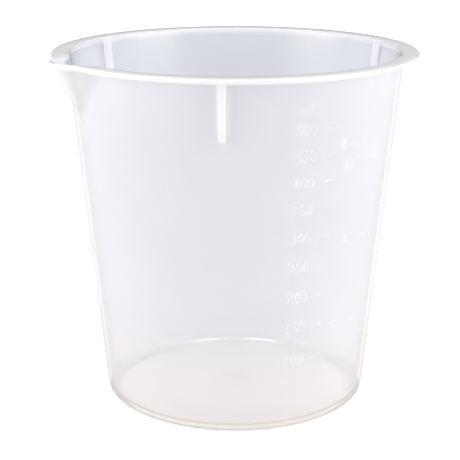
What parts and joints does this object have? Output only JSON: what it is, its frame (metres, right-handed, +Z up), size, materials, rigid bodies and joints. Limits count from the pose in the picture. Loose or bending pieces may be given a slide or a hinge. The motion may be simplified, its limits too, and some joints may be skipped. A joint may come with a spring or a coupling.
{
  "type": "resin mixing cup",
  "caption": "Tapered translucent plastic measuring cup with a flat rim, a pulled pouring spout, outside stacking ribs and raised millilitre and fluid ounce lines.",
  "frame": {"origin": "on the cup's axis, in the plane that the cup stands on", "axes": "+Z up along the cup's axis, -X towards the pouring spout, -Y towards the measuring lines"},
  "size_m": [0.1112, 0.1074, 0.105],
  "materials": {
    "natural_polypropylene": "uncoloured polypropylene, milky and see-through, satin outside"
  },
  "bodies": {
    "root": {"cup_floor": "natural_polypropylene", "cup_wall": "natural_polypropylene", "pour_spout": "natural_polypropylene", "rim_flange": "natural_polypropylene", "ml_scale_lines": "natural_polypropylene", "floz_scale_lines": "natural_polypropylene", "gate_boss": "natural_polypropylene", "gate_vestige": "natural_polypropylene", "stacking_rib_1": "natural_polypropylene", "stacking_rib_2": "natural_polypropylene", "stacking_rib_3": "natural_polypropylene"}
  },
  "joints": []
}
